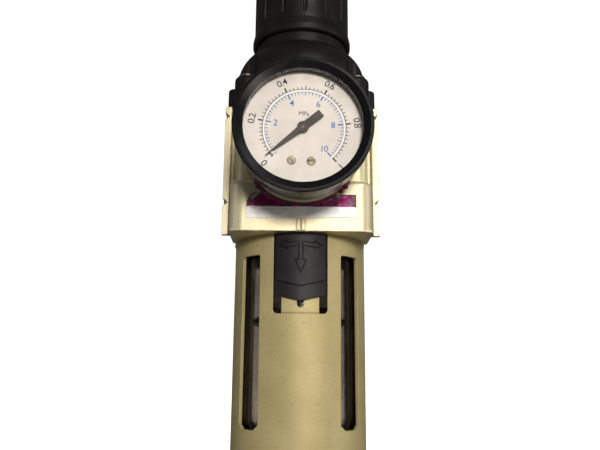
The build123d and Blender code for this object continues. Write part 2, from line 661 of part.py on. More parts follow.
def front_label():
    label = block(-23.4, 23.4, -BLOCK_Y - 0.15, -BLOCK_Y, -31.1, -20.6)
    return label - rod_y(BOSS_R + 0.1, -BLOCK_Y - 2, -BLOCK_Y + 2)


PIECES = (
    body, bonnet, bonnet_screws, diaphragm, diaphragm_plate, diaphragm_washer, adjusting_screw,
    thrust_washer, adjusting_nut, adjusting_spring, knob, knob_cap, valve_stem, valve_poppet,
    valve_spring, valve_guide, valve_guide_oring, rear_port_plug, deflector, filter_element, baffle,
    centre_rod, bowl, bowl_oring, bowl_guard, lock_button, lock_spring, drain_guide, drain_seal,
    drain_nut, drain_cock, drain_valve, gauge_socket, gauge_case, gauge_bezel, gauge_lens,
    gauge_dial, dial_screws, stop_pin, pointer, pointer_pinion, sector_gear, gauge_link,
    movement_plates, hairspring, bourdon_tube, front_label,
)


def main():
    os.makedirs("parts", exist_ok=True)
    for piece in PIECES:
        export_step(piece(), f"parts/{piece.__name__}.step")


main()
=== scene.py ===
import json
import math

import bpy
from mathutils import Euler, Matrix, Vector, noise

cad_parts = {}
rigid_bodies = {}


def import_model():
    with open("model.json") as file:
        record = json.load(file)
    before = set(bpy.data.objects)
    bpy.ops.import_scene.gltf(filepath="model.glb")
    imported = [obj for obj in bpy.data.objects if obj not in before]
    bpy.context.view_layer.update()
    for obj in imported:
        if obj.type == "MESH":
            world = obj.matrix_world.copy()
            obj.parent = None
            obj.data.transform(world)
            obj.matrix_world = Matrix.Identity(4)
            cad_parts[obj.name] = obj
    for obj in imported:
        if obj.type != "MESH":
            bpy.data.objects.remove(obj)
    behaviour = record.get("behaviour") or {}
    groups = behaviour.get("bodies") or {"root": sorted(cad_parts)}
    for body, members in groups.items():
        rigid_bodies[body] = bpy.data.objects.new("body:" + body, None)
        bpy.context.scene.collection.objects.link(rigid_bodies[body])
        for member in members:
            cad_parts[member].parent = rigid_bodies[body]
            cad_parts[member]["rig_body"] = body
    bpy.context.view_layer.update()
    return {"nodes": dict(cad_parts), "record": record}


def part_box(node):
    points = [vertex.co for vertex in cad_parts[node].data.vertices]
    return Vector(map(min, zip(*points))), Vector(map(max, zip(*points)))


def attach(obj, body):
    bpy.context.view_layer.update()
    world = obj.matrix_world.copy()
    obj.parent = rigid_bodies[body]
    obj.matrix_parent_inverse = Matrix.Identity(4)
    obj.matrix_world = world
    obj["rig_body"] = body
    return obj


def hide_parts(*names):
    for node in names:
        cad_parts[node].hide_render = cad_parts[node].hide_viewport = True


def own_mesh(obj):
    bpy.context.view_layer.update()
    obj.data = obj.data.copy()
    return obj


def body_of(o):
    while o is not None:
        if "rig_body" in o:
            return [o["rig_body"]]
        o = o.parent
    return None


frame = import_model()
NODES = frame["nodes"]
MM = 0.001

# ---- sizes, in millimetres, in the part's frame -------------------------------------------
GAUGE_ROLL = 2.0            # the gauge sits this far clockwise of upright, degrees
ART_X, ART_Z = 0.48, -0.28  # the dial's print is a little off the pointer's axis
SCALE_START = 225.0         # clock angle of zero
SCALE_SWEEP = 270.0
DIVISIONS = 50
PRINT_DEPTH = 0.03
SMALL_PRINT = 2.2           # strokes of letters up to this high aren't thickened
NUMERAL_WEIGHT = 0.006      # the numerals' strokes are thickened by this share of their height
DIAL_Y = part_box("gauge_dial")[0].y / MM
BLOCK_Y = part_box("front_label")[1].y / MM
BUTTON_R = 31.1             # the lock button's round face, from the bowl's axis
BOSS_R = 24.5               # the boss that carries the gauge
PORT_R = 9.3                # the bore of both ports
BODY_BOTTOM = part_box("body")[0].z / MM
BLOCK_X = 31.1              # half the width of the block


# ---- node helpers -------------------------------------------------------------------------
class Tree:
    """A short way to write a material's nodes."""

    def __init__(self, name):
        self.mat = bpy.data.materials.new(name)
        self.mat.use_nodes = True
        self.tree = self.mat.node_tree
        self.shader = self.tree.nodes["Principled BSDF"]
        self.coords = self.node("ShaderNodeTexCoord").outputs["Object"]

    def node(self, kind, links=(), **values):
        made = self.tree.nodes.new(kind)
        for key, value in values.items():
            setattr(made, key, value)
        for socket, source in links:
            if isinstance(source, bpy.types.NodeSocket):
                self.tree.links.new(source, made.inputs[socket])
            else:
                made.inputs[socket].default_value = source
        return made

    def noise(self, size_mm, detail=3.0, roughness=0.5, stretch=None):
        vector = self.coords
        if stretch:
            vector = self.node("ShaderNodeMapping", [("Vector", vector), ("Scale", stretch)]).outputs[0]
        return self.node(
            "ShaderNodeTexNoise",
            [("Vector", vector), ("Scale", 1 / (size_mm * MM)), ("Detail", detail), ("Roughness", roughness)],
        ).outputs["Fac"]

    def spots(self, size_mm, feature="F1"):
        cells = self.node("ShaderNodeTexVoronoi", [("Vector", self.coords), ("Scale", 1 / (size_mm * MM))])
        cells.feature = feature
        return cells.outputs["Distance"]

    def remap(self, value, low_in, high_in, low_out, high_out):
        links = zip(("Value", "From Min", "From Max", "To Min", "To Max"),
                    (value, low_in, high_in, low_out, high_out))
        return self.node("ShaderNodeMapRange", list(links)).outputs["Result"]

    def mix(self, share, first, second):
        made = self.node("ShaderNodeMix", data_type="RGBA")
        for index, source in ((0, share), (6, first), (7, second)):
            if isinstance(source, bpy.types.NodeSocket):
                self.tree.links.new(source, made.inputs[index])
            else:
                made.inputs[index].default_value = source
        return made.outputs[2]

    def math(self, operation, first, second=0.0):
        return self.node("ShaderNodeMath", [(0, first), (1, second)], operation=operation).outputs[0]

    def height(self):
        return self.node("ShaderNodeSeparateXYZ", [("Vector", self.coords)]).outputs

    def bump(self, height, depth_mm, normal=None):
        links = [("Height", height), ("Distance", depth_mm * MM), ("Strength", 1.0)]
        if normal:
            links.append(("Normal", normal))
        return self.node("ShaderNodeBump", links).outputs[0]

    def rounded(self, radius_mm):
        return self.node("ShaderNodeBevel", [("Radius", radius_mm * MM)], samples=4).outputs[0]

    def worn_edges(self, radius_mm, low=0.02, high=0.25):
        """1 along sharp edges, 0 on open faces, broken up by noise."""
        plain = self.node("ShaderNodeNewGeometry").outputs["Normal"]
        soft = self.rounded(radius_mm)
        facing = self.node("ShaderNodeVectorMath", [(0, plain), (1, soft)], operation="DOT_PRODUCT")
        edge = self.remap(self.math("SUBTRACT", 1.0, facing.outputs["Value"]), low, high, 0.0, 1.0)
        patchy = self.remap(self.noise(2.2, 4.0), 0.42, 0.6, 0.0, 1.0)
        return self.math("MULTIPLY", edge, patchy)

    def crevice_shade(self, reach_mm, share):
        """Up to share in inner corners, 0 on open faces: painted shade, darkening the paint where little
        light reaches.
        """
        reach = [("Distance", reach_mm * MM)]
        open_sky = self.node("ShaderNodeAmbientOcclusion", reach, samples=8, only_local=True)
        return self.remap(open_sky.outputs["AO"], 0.5, 0.96, share, 0.0)

    def set(self, **values):
        for key, value in values.items():
            name = key.replace("_", " ").title().replace("Ior", "IOR")
            socket = self.shader.inputs[name]
            if isinstance(value, bpy.types.NodeSocket):
                self.tree.links.new(value, socket)
            else:
                socket.default_value = value
        return self.mat


def rgb(red, green, blue):
    """Linear colour from sRGB values of 0 to 255."""
    def linear(part):
        part /= 255
        return part / 12.92 if part < 0.04045 else ((part + 0.055) / 1.055) ** 2.4
    return (linear(red), linear(green), linear(blue), 1.0)


# ---- materials ----------------------------------------------------------------------------
def champagne(name, tone, grain_mm, grain_depth, metallic, rough):
    """Satin metallic paint: flakes, speckle, slow drift of tone, patchy grime, painted shade in its inner
    corners and bright worn edges.
    """
    m = Tree(name)
    light, mid, dark = tone
    drift = m.remap(m.noise(14.0, 4.0), 0.35, 0.65, 0.0, 1.0)
    colour = m.mix(drift, mid, light)
    flakes = m.remap(m.noise(0.12, 2.0), 0.62, 0.75, 0.0, 0.35)
    colour = m.mix(flakes, colour, rgb(250, 244, 222))
    grime = m.remap(m.noise(3.5, 6.0, 0.65), 0.6, 0.8, 0.0, 0.35)
    colour = m.mix(grime, colour, dark)
    speckle = m.remap(m.noise(0.6, 3.0, 0.7), 0.4, 0.62, 0.0, 0.13)
    colour = m.mix(speckle, colour, dark)
    # painted shade: the paint is pulled towards its dark tone in inner corners, where an occlusion mask finds
    # little open sky
    colour = m.mix(m.crevice_shade(1.3, 0.95), colour, dark)
    worn = m.worn_edges(0.35)
    colour = m.mix(m.math("MULTIPLY", worn, 0.5), colour, rgb(225, 215, 190))
    rough = m.remap(m.noise(5.0, 3.0), 0.3, 0.7, rough - 0.04, rough + 0.04)
    grain = m.bump(m.noise(grain_mm, 3.0, 0.6), grain_depth, m.rounded(0.45))
    return m.set(base_color=colour, roughness=rough, metallic=metallic, normal=grain)


def black_plastic(name, base, rough, grain_mm, grain_depth):
    """Moulded nylon: fine spark-eroded grain, slight tone drift, faint pale scuffs and handling dust."""
    m = Tree(name)
    paler = tuple(1.5 * c for c in base[:3]) + (1.0,)
    colour = m.mix(m.remap(m.noise(9.0, 4.0), 0.35, 0.65, 0.0, 1.0), base, paler)
    dust = m.remap(m.noise(0.8, 5.0, 0.7), 0.64, 0.8, 0.0, 0.07)
    colour = m.mix(dust, colour, rgb(120, 112, 100))
    scuffs = m.remap(m.noise(1.3, 2.0, stretch=(1.0, 1.0, 9.0)), 0.68, 0.76, 0.0, 0.08)
    colour = m.mix(scuffs, colour, rgb(95, 90, 84))
    worn = m.worn_edges(0.25)
    colour = m.mix(m.math("MULTIPLY", worn, 0.15), colour, rgb(90, 86, 80))
    roughness = m.remap(m.noise(4.0, 3.0), 0.3, 0.7, rough - 0.06, rough + 0.08)
    grain = m.bump(m.noise(grain_mm, 2.0), grain_depth, m.rounded(0.3))
    return m.set(base_color=colour, roughness=roughness, normal=grain, specular_ior_level=0.3)


def gloss_enamel():
    """The gauge's black enamel: smooth, with a faint orange peel and dust."""
    m = Tree("gauge_enamel")
    dust = m.remap(m.noise(0.5, 4.0, 0.7), 0.68, 0.82, 0.0, 0.1)
    colour = m.mix(dust, rgb(12, 11, 12), rgb(110, 104, 98))
    rough = m.remap(m.noise(3.0, 4.0), 0.3, 0.7, 0.2, 0.28)
    peel = m.bump(m.noise(1.2, 1.0), 0.001)
    return m.set(base_color=colour, roughness=rough, normal=peel, specular_ior_level=0.36)


def metal(name, base, tarnish, rough, grain_mm=0.3, stretch=None, metallic=1.0):
    """Bare metal with machining lines or rolled grain and patchy tarnish."""
    m = Tree(name)
    colour = m.mix(m.remap(m.noise(2.5, 5.0, 0.6), 0.4, 0.7, 0.0, 1.0), base, tarnish)
    lines = m.noise(grain_mm, 2.0, stretch=stretch)
    roughness = m.remap(lines, 0.3, 0.7, rough - 0.08, rough + 0.1)
    return m.set(base_color=colour, metallic=metallic, roughness=roughness,
                 normal=m.bump(lines, 0.01, m.rounded(0.12)))


def moulding(name, base, shade, rough, grain_mm=0.4, depth=0.01, **fixed):
    """Plain moulded plastic, rubber or sintered stuff, told apart by grain, tone and roughness."""
    m = Tree(name)
    colour = m.mix(m.remap(m.noise(4.0, 4.0), 0.35, 0.65, 0.0, 1.0), base, shade)
    roughness = m.remap(m.noise(1.5, 3.0), 0.3, 0.7, rough - 0.06, rough + 0.06)
    grain = m.bump(m.noise(grain_mm, 3.0), depth, m.rounded(0.15))
    return m.set(base_color=colour, roughness=roughness, normal=grain, **fixed)


def dial_paint():
    """Off-white dial paint: faint mottling and dust specks."""
    m = Tree("dial_paint")
    colour = m.mix(m.remap(m.noise(7.0, 4.0), 0.35, 0.65, 0.0, 1.0), rgb(228, 220, 210), rgb(220, 212, 202))
    specks = m.remap(m.noise(0.25, 2.0), 0.7, 0.8, 0.0, 0.4)
    colour = m.mix(specks, colour, rgb(150, 142, 134))
    return m.set(base_color=colour, roughness=m.remap(m.noise(2.0), 0.3, 0.7, 0.5, 0.6),
                 normal=m.bump(m.noise(0.4), 0.004))


def print_ink(name, base, shade):
    m = Tree(name)
    colour = m.mix(m.remap(m.noise(0.4, 3.0), 0.35, 0.7, 0.0, 1.0), base, shade)
    return m.set(base_color=colour, roughness=m.remap(m.noise(1.0), 0.3, 0.7, 0.4, 0.55))


def clear_window():
    """The gauge's window: nearly nothing but a faint reflection and a few smears."""
    m = Tree("clear_window")
    smears = m.remap(m.noise(6.0, 4.0, 0.7), 0.35, 0.75, 0.03, 0.075)
    return m.set(base_color=rgb(255, 252, 250), metallic=1.0, roughness=0.06, alpha=smears)


def clear_bowl():
    """Clear polycarbonate, a little yellow and smoky, wet-looking, with fine inner haze."""
    m = Tree("clear_bowl")
    haze = m.remap(m.noise(8.0, 4.0), 0.3, 0.7, 0.04, 0.12)
    tint = m.mix(m.remap(m.noise(12.0, 3.0), 0.4, 0.6, 0.0, 1.0), rgb(168, 160, 154), rgb(154, 145, 138))
    return m.set(base_color=tint, roughness=haze, transmission_weight=1.0, ior=1.45,
                 normal=m.bump(m.noise(6.0, 2.0), 0.02))


def label_print():
    """Crumpled glossy film: white below, magenta above, with creases where the ink has cracked."""
    m = Tree("label_print")
    height = m.height()[2]
    edge = m.math("ADD", height, m.remap(m.noise(5.0, 2.0), 0.3, 0.7, -0.00008, 0.00008))
    upper = m.remap(edge, -0.02606, -0.02594, 0.0, 1.0)
    white = m.mix(m.remap(m.noise(3.0, 4.0), 0.4, 0.65, 0.0, 1.0), rgb(250, 248, 242), rgb(232, 228, 226))
    ink = m.mix(m.remap(m.noise(4.0, 4.0, 0.6), 0.38, 0.62, 0.0, 1.0), rgb(156, 24, 100), rgb(92, 6, 58))
    crack = m.remap(m.spots(3.4, "DISTANCE_TO_EDGE"), 0.0, 0.02, 0.35, 0.0)
    ink = m.mix(crack, ink, rgb(205, 110, 165))
    colour = m.mix(upper, white, ink)
    rough = m.remap(upper, 0.0, 1.0, 0.5, 0.24)
    creases = m.bump(m.noise(3.2, 4.0, 0.55), 0.14)
    return m.set(base_color=colour, roughness=rough, normal=creases, coat_weight=0.25, coat_roughness=0.12)


def foil_back():
    m = Tree("label_foil_back")
    colour = m.mix(m.remap(m.noise(2.6, 3.0), 0.4, 0.6, 0.0, 1.0), rgb(176, 170, 160), rgb(96, 90, 80))
    return m.set(base_color=colour, metallic=0.7, roughness=m.remap(m.noise(1.0), 0.3, 0.7, 0.22, 0.4),
                 normal=m.bump(m.noise(2.4, 3.0), 0.08))


# Painted light: one champagne paint in two copies, a paler lit one for the cast body and a darker shaded one
# for the painted sheet parts.
LIT_CHAMPAGNE = (rgb(250, 238, 202), rgb(240, 227, 187), rgb(130, 114, 76))
SHADED_CHAMPAGNE = (rgb(198, 183, 132), rgb(186, 171, 120), rgb(104, 90, 58))
FINISH = {
    "champagne_casting": champagne("champagne_casting", LIT_CHAMPAGNE, 0.7, 0.06, 0.62, 0.4),
    "champagne_paint": champagne("champagne_sheet", SHADED_CHAMPAGNE, 0.5, 0.018, 0.4, 0.52),
    "black_nylon": black_plastic("black_nylon", rgb(15, 13, 12), 0.42, 0.5, 0.012),
    "screw_steel": metal("screw_steel", rgb(168, 156, 136), rgb(104, 92, 76), 0.36),
    "nitrile": moulding("nitrile", rgb(30, 30, 31), rgb(42, 41, 40), 0.62),
    "plate_aluminium": metal("plate_aluminium", rgb(206, 206, 208), rgb(172, 170, 168), 0.34),
    "spring_steel": metal("spring_steel", rgb(178, 176, 172), rgb(120, 114, 106), 0.3, 0.2),
    "brass": metal("brass", rgb(206, 172, 96), rgb(150, 112, 56), 0.3),
    "white_acetal": moulding("white_acetal", rgb(226, 225, 218), rgb(208, 206, 198), 0.38),
    "filter_media": moulding("filter_media", rgb(232, 229, 218), rgb(206, 201, 188), 0.85, 0.35, 0.09),
    "clear_polycarbonate": clear_bowl(),
    "gauge_black": gloss_enamel(),
    "gauge_lens": clear_window(),
    "dial_white": dial_paint(),
    "pointer_paint": moulding("pointer_paint", rgb(76, 67, 60), rgb(60, 53, 48), 0.42, 0.2, 0.004),
    "label_film": label_print(),
}
BUTTON = black_plastic("button_nylon", rgb(27, 25, 28), 0.38, 0.35, 0.006)
# painted shade: the raised arrows are the button's nylon made near-black, so they read as dark lines of shade
SHADED_ARROW_NYLON = black_plastic("painted_shade_arrows", rgb(7, 6, 7), 0.5, 0.5, 0.004)
INK_BLACK = print_ink("ink_black", rgb(26, 22, 24), rgb(48, 44, 44))
INK_BLUE = print_ink("ink_blue", rgb(30, 84, 160), rgb(52, 108, 178))
INK_WHITE = print_ink("ink_white", rgb(252, 250, 248), rgb(242, 240, 238))
FOIL = foil_back()

SLOT_OF = {row["node"]: row["material_slot"] for row in frame["record"]["subparts"]}
for node_name, node_object in NODES.items():
    node_object.data.materials.clear()
    node_object.data.materials.append(FINISH[SLOT_OF[node_name]])
NODES["lock_button"].data.materials[0] = BUTTON
ARBOR = metal("tarnished_arbor", rgb(150, 134, 116), rgb(104, 90, 76), 0.42, metallic=0.4)
NODES["pointer_pinion"].data.materials[0] = ARBOR
# the dial screws' very dark tarnish tone is part real tarnish and part painted shade, laid in random patches
NICKEL = metal("nickel", rgb(222, 208, 180), rgb(66, 52, 38), 0.2, metallic=0.7)
NODES["dial_screws"].data.materials[0] = NICKEL
# painted highlight: the stop pin gets a near-white, barely metallic colour so it shows pale like a lit glint
PIN_PAINTED_HIGHLIGHT = metal("pin_painted_highlight", rgb(242, 240, 232), rgb(214, 208, 196), 0.25, metallic=0.1)
NODES["stop_pin"].data.materials[0] = PIN_PAINTED_HIGHLIGHT


# ---- mesh helpers -------------------------------------------------------------------------
def piece(name, points, faces, material, body, smooth=False):
    """A mesh piece from points in millimetres, riding on a body."""
    mesh = bpy.data.meshes.new(name)
    mesh.from_pydata([tuple(c * MM for c in p) for p in points], [], faces)
    mesh.validate()
    mesh.materials.append(material)
    for polygon in mesh.polygons:
        polygon.use_smooth = smooth
    made = bpy.data.objects.new(name, mesh)
    bpy.context.scene.collection.objects.link(made)
    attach(made, body)
    return made


class Builder:
    """Gathers closed solids into one mesh."""

    def __init__(self):
        self.points, self.faces = [], []

    def loops(self, rings, closed_path=False):
        """Skins a row of equal rings of points; the ends are capped unless the path closes on itself."""
        base, count = len(self.points), len(rings[0])
        for ring in rings:
            self.points.extend(ring)
        spans = len(rings) if closed_path else len(rings) - 1
        for i in range(spans):
            here, there = base + i * count, base + (i + 1) % len(rings) * count
            for j in range(count):
                k = (j + 1) % count
                self.faces.append((here + j, here + k, there + k, there + j))
        if not closed_path:
            last = base + (len(rings) - 1) * count
            self.faces.append(tuple(range(base + count - 1, base - 1, -1)))
            self.faces.append(tuple(range(last, last + count)))

    def sheet(self, point, across, along, thickness):
        """A closed thin sheet: point(u, v) gives its front; its back lies thickness further along +Y."""
        base, width = len(self.points), along + 1
        for depth in (0.0, thickness):
            for i in range(across + 1):
                for j in range(width):
                    x, y, z = point(i / across, j / along)
                    self.points.append((x, y + depth, z))
        layer = (across + 1) * width

        def at(i, j, side):
            return base + side * layer + i * width + j
        for i in range(across):
            for j in range(along):
                self.faces.append((at(i, j, 0), at(i + 1, j, 0), at(i + 1, j + 1, 0), at(i, j + 1, 0)))
                self.faces.append((at(i, j, 1), at(i, j + 1, 1), at(i + 1, j + 1, 1), at(i + 1, j, 1)))
        for i in range(across):
            self.faces.append((at(i, 0, 0), at(i, 0, 1), at(i + 1, 0, 1), at(i + 1, 0, 0)))
            self.faces.append((at(i, along, 0), at(i + 1, along, 0), at(i + 1, along, 1), at(i, along, 1)))
        end = across
        for j in range(along):
            self.faces.append((at(0, j, 0), at(0, j + 1, 0), at(0, j + 1, 1), at(0, j, 1)))
            self.faces.append((at(end, j, 0), at(end, j, 1), at(end, j + 1, 1), at(end, j + 1, 0)))

    def make(self, name, material, body, slot, smooth=False):
        return piece(name, self.points, self.faces, material, body, smooth)


def turn_clock(x, z, degrees):
    angle = math.radians(degrees)
    return (x * math.cos(angle) + z * math.sin(angle), -x * math.sin(angle) + z * math.cos(angle))


def on_print(radius, clock):
    """A point of the dial's print; clock is degrees clockwise from its top."""
    x, z = turn_clock(0.0, radius, clock)
    return turn_clock(x + ART_X, z + ART_Z, GAUGE_ROLL)


# ---- springs, stood in for by copies of the CAD coils -------------------------------------
def live_spring(node):
    """Stands for a CAD spring: a copy of the same coil with its own mesh, riding on the same body, while the
    CAD node is hidden.
    """
    coil = bpy.data.objects.new(node + "_coil", NODES[node].data.copy())
    coil.matrix_world = NODES[node].matrix_world.copy()
    bpy.context.scene.collection.objects.link(coil)
    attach(coil, body_of(NODES[node])[0])
    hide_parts(node)
    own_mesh(coil)


live_spring("adjusting_spring")
live_spring("valve_spring")
live_spring("lock_spring")


# ---- the dial's print ---------------------------------------------------------------------
FRONT = DIAL_Y - PRINT_DEPTH
SINK = DIAL_Y + PRINT_DEPTH


def flat_bar(builder, corners):
    """A printed mark with four or more corners, from just under the paint to just above it."""
    builder.loops([[(x, FRONT, z) for x, z in corners], [(x, SINK, z) for x, z in corners]])


def tick(builder, clock, inner, outer, width):
    corners = []
    for radius, side in ((inner, -1), (outer, -1), (outer, 1), (inner, 1)):
        lean = math.degrees(side * width / 2 / radius)
        corners.append(on_print(radius, clock + lean))
    flat_bar(builder, corners)


def arc(builder, inner, outer, start, sweep, steps):
    rings = []
    for i in range(steps + 1):
        clock = start + sweep * i / steps
        (xi, zi), (xo, zo) = on_print(inner, clock), on_print(outer, clock)
        rings.append([(xi, FRONT, zi), (xo, FRONT, zo), (xo, SINK, zo), (xi, SINK, zi)])
    builder.loops(rings)


def lettering(name, texts, material, weight):
    """Numerals as solid print. Each text is (words, x, z, height, turn clockwise in degrees)."""
    points, faces = [], []
    for words, x, z, height, clock in texts:
        curve = bpy.data.curves.new("letters", "FONT")
        curve.body = words
        curve.align_x, curve.align_y = "CENTER", "CENTER"
        curve.size = height / 0.73
        curve.offset = weight * height if height > SMALL_PRINT else 0.0
        curve.space_character = 0.9
        curve.extrude = PRINT_DEPTH / 2
        curve.resolution_u = 4
        holder = bpy.data.objects.new("letters", curve)
        bpy.context.scene.collection.objects.link(holder)
        bpy.context.view_layer.update()
        mesh = bpy.data.meshes.new_from_object(holder.evaluated_get(bpy.context.evaluated_depsgraph_get()))
        place = Matrix.Translation((x, DIAL_Y - PRINT_DEPTH / 2, z))
        place = place @ Euler((0, math.radians(clock), 0)).to_matrix().to_4x4()
        place = place @ Matrix.Rotation(math.pi / 2, 4, "X")
        base = len(points)
        points.extend(tuple(place @ v.co) for v in mesh.vertices)
        faces.extend(tuple(base + i for i in p.vertices) for p in mesh.polygons)
        bpy.data.objects.remove(holder)
        bpy.data.curves.remove(curve)
        bpy.data.meshes.remove(mesh)
    return piece(name, points, faces, material, "root")


outer_print, inner_print, ring_print = Builder(), Builder(), Builder()
for index in range(DIVISIONS + 1):
    clock = SCALE_START + SCALE_SWEEP * index / DIVISIONS
    if index % 10 == 0:
        outer_end, inner_end, thick = 18.7, 13.4, 0.62
    elif index % 5 == 0:
        outer_end, inner_end, thick = 18.15, 14.0, 0.36
    else:
        outer_end, inner_end, thick = 17.7, 14.4, 0.3
    if index == 0:
        outer_end, inner_end, thick = 17.65, 14.4, 0.25
    tick(outer_print, clock, 16.6, outer_end, thick)
    tick(inner_print, clock, inner_end, 15.6, thick * 0.85)
arc(outer_print, 16.55, 16.78, SCALE_START, SCALE_SWEEP, 120)
arc(inner_print, 15.45, 15.58, SCALE_START, SCALE_SWEEP, 120)
arc(ring_print, 15.9, 16.35, SCALE_START, SCALE_SWEEP, 120)
outer_print.make("dial_print_outer", INK_BLACK, "root", "dial_white")
inner_print.make("dial_print_inner", INK_BLUE, "root", "dial_white")
ring_print.make("dial_print_ring", INK_WHITE, "root", "dial_white")

outer_words, inner_words = [], []
for index, words in enumerate(("0", "0.2", "0.4", "0.6", "0.8", "1")):
    clock = SCALE_START + SCALE_SWEEP * index / 5
    outer_words.append((words, *on_print(21.1, clock), 2.9, clock + GAUGE_ROLL))
    if index:
        inner_words.append((str(2 * index), *on_print(11.6, clock), 2.6, GAUGE_ROLL))
outer_words.append(("MPa", *on_print(6.2, 357.0), 1.9, GAUGE_ROLL))
lettering("dial_numerals_outer", outer_words, INK_BLACK, NUMERAL_WEIGHT)
lettering("dial_numerals_inner", inner_words, INK_BLUE, NUMERAL_WEIGHT)


# ---- the lock button's arrows -------------------------------------------------------------
def ridge(builder, path, width, height, radius, closed):
    """A raised line on the button's round face along a path of (x, z) points."""
    count, rings = len(path), []
    for i, (x, z) in enumerate(path):
        before = path[i - 1] if i or closed else path[i]
        after = path[(i + 1) % count] if i < count - 1 or closed else path[i]
        into = Vector((x - before[0], z - before[1]))
        out = Vector((after[0] - x, after[1] - z))
        into = into.normalized() if into.length else out.normalized()
        out = out.normalized() if out.length else into
        middle = (into + out).normalized()
        across = Vector((-middle.y, middle.x)) * (width / 2 / max(0.35, middle.dot(into)))
        ring = []
        low, shoulder = -0.2, height * 0.6
        outline = ((1, low), (1, shoulder), (0.55, height), (-0.55, height), (-1, shoulder), (-1, low))
        for side, lift in outline:
            px, pz = x + side * across.x, z + side * across.y
            ring.append((px, -math.sqrt((radius + lift) ** 2 - px * px), pz))
        rings.append(ring)
    builder.loops(rings, closed)


def curve_between(start, end, bulge, steps=6):
    """Points from start to end along a shallow curve that bulges by that much to its left."""
    dx, dz = end[0] - start[0], end[1] - start[1]
    length = math.hypot(dx, dz)
    points = []
    for i in range(steps + 1):
        t = i / steps
        lift = 4 * bulge * t * (1 - t)
        points.append((start[0] + dx * t - dz / length * lift, start[1] + dz * t + dx / length * lift))
    return points


arrows = Builder()
DOWN_ARROW = [(-0.9, -40.0), (-0.9, -48.0), (-2.4, -48.0), (0.0, -53.6),
              (2.4, -48.0), (0.9, -48.0), (0.9, -40.0)]
ridge(arrows, DOWN_ARROW, 0.5, 0.26, BUTTON_R, closed=False)
for side in (-1, 1):
    upper = curve_between((side * 1.7, -40.0), (side * 6.0, -40.5), -side * 0.3)
    lower = curve_between((side * 6.0, -42.3), (side * 1.7, -41.8), side * 0.3)
    head = [(side * 6.0, -39.5), (side * 8.8, -41.7), (side * 5.8, -43.4)]
    ridge(arrows, upper + head + lower, 0.46, 0.24, BUTTON_R, closed=False)
arrows.make("button_arrows", SHADED_ARROW_NYLON, "lock", "black_nylon")


# ---- the crumpled label -------------------------------------------------------------------
LABEL_LOW, LABEL_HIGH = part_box("front_label")
LEFT, RIGHT = LABEL_LOW.x / MM, LABEL_HIGH.x / MM
FOOT, HEAD = LABEL_LOW.z / MM, LABEL_HIGH.z / MM
INK_EDGE = -26.0
FILM = 0.09


def crumple(x, z, size, amount):
    return amount * noise.noise(Vector((x / size, 3.7, z / size)))


def film_top(x):
    """Upper edge of the film: cut round the gauge boss, and torn slantwise at the left."""
    boss = -math.sqrt(max(0.0, (BOSS_R + 0.35) ** 2 - x * x))
    torn = INK_EDGE + 0.35 + (x - LEFT) * 0.92
    return min(HEAD + crumple(x, 0, 3.0, 0.25), max(boss, INK_EDGE + 0.4), torn)


def film_point(u, v):
    x = LEFT + (RIGHT - LEFT) * u
    top, bottom = film_top(x), FOOT + 0.012 * (x - LEFT) * (v < 0.5)
    z = bottom + (top - bottom) * v
    rise = max(0.0, z - INK_EDGE + 0.6)
    loose = min(1.0, rise)
    lift = 0.16 + 0.13 * loose + crumple(x, z, 2.6, 0.2) * loose + crumple(x, z, 7.0, 0.1)
    near_boss = max(0.0, 1.0 - (math.hypot(x, z) - BOSS_R) / 2.4)
    lift += 0.9 * near_boss ** 2 * min(1.0, rise / 2)
    lift += 0.22 * max(0.0, 1.0 - (z - FOOT) / 1.2) * max(0.0, crumple(x, 0, 9.0, 1.0))
    return (x, BLOCK_Y - FILM - max(0.04, lift), z)


film = Builder()
film.sheet(film_point, 120, 36, FILM)
label = film.make("label_film", FINISH["label_film"], "root", "label_film", smooth=True)
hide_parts("front_label")

turned_corner = Builder()


def corner_point(u, v):
    """The label's upper left corner, torn loose and folded forward, showing its silver back."""
    x = LEFT + 0.2 + 5.6 * u
    width = 0.5 + 2.3 * math.sin(math.pi * min(1.0, u + 0.12))
    z = INK_EDGE + 0.5 + 0.9 * (x - LEFT) * 0.95 + width * v
    lift = 0.3 + 0.75 * v * (1 - 0.5 * u) + crumple(x, z, 1.6, 0.3)
    return (x, BLOCK_Y - FILM - max(0.05, lift), z)


turned_corner.sheet(corner_point, 24, 12, FILM)
turned_corner.make("label_folded_corner", FOIL, "root", "label_film", smooth=True)

shreds = Builder()
for start, end, seed in ((219.0, 236.0, 1.3), (141.0, 122.0, 4.1)):
    def shred_point(u, v, start=start, end=end, seed=seed):
        clock = start + (end - start) * u
        reach = 2.3 * math.sin(math.pi * min(0.97, 0.25 + 0.75 * u)) ** 0.8
        radius = BOSS_R + 0.18 + reach * v * (0.75 + 0.5 * noise.noise(Vector((u * 5, seed, 0))))
        x, z = turn_clock(0.0, radius, clock)
        fold = math.sin(9 * u + seed) * 0.35 + noise.noise(Vector((u * 7, v * 3, seed))) * 0.5
        return (x, BLOCK_Y - 0.5 - 2.2 * (1 - v) - fold * (0.2 + 0.5 * v), z)
    shreds.sheet(shred_point, 30, 8, FILM)
SHRED = Tree("label_shred")
SHRED_DRIFT = SHRED.remap(SHRED.noise(1.0, 4.0), 0.35, 0.65, 0.0, 1.0)
SHRED_INK = SHRED.mix(SHRED_DRIFT, rgb(132, 20, 84), rgb(60, 8, 40))
SHRED.set(base_color=SHRED_INK, roughness=SHRED.remap(SHRED.noise(0.8), 0.3, 0.7, 0.22, 0.36),
          normal=SHRED.bump(SHRED.noise(0.9, 4.0), 0.08), coat_weight=0.3, coat_roughness=0.12)
shreds.make("label_shreds", SHRED.mat, "root", "label_film", smooth=True)


